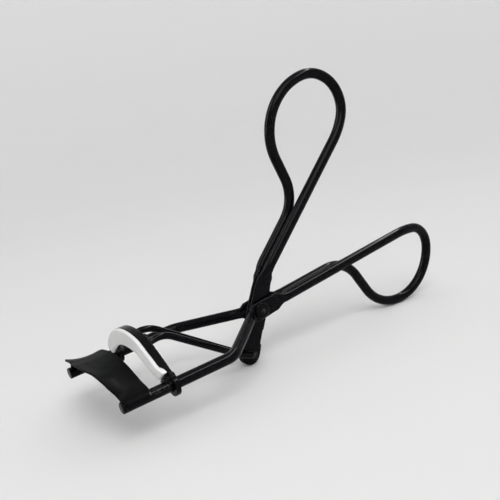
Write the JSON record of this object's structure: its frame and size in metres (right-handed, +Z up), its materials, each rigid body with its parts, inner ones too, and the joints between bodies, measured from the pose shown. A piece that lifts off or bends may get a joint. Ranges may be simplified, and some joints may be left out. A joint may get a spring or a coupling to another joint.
{
  "type": "eyelash curler",
  "caption": "Scissor-handled eyelash curler: bent-wire handles with finger loops push a padded bar along guide rods against an arched curling plate.",
  "frame": {"origin": "middle of the footprint, on the level surface that the lever arms and the finger loop stand on", "axes": "+X towards the handles, along the guide rods' heading; +Y to the far side, along the rivet; +Z up"},
  "size_m": [0.1126, 0.0336, 0.0709],
  "materials": {
    "black_coat": "semi-gloss",
    "black_plate": "satin",
    "black_rivet": "gloss",
    "white_silicone": "translucent matte"
  },
  "bodies": {
    "frame": {"frame_wire": "black_coat", "curling_plate": "black_plate", "pivot_rivet": "black_rivet"},
    "lever": {"lever_wire": "black_coat"},
    "slide": {"slide_bar": "black_coat", "lash_pad": "white_silicone"},
    "near_pusher": {"near_push_rod": "black_coat"},
    "far_pusher": {"far_push_rod": "black_coat"}
  },
  "joints": [
    {"name": "lever_hinge", "type": "hinge", "parent": "frame", "child": "lever", "pos_m": [-0.00752, 0, 0.01373], "axis": [0, 1, 0], "range_deg": [-15, 15]},
    {"name": "pad_slide", "type": "slide", "parent": "frame", "child": "slide", "axis": [-0.9982, 0, -0.0607], "range_m": [-0.0036, 0.0036]},
    {"name": "near_rod_hinge", "type": "hinge", "parent": "lever", "child": "near_pusher", "pos_m": [-0.01187, 0, 0.0029], "axis": [0, 1, 0], "range_deg": [-18.5, 18.5]},
    {"name": "far_rod_hinge", "type": "hinge", "parent": "lever", "child": "far_pusher", "pos_m": [-0.01187, 0, 0.0029], "axis": [0, 1, 0], "range_deg": [-18.5, 18.5]}
  ],
  "couplings": [
    {"joint": "pad_slide", "follows": "lever_hinge", "m_per_rad": 0.013166},
    {"joint": "near_rod_hinge", "follows": "lever_hinge", "ratio": -1.1777},
    {"joint": "far_rod_hinge", "follows": "lever_hinge", "ratio": -1.1777}
  ]
}
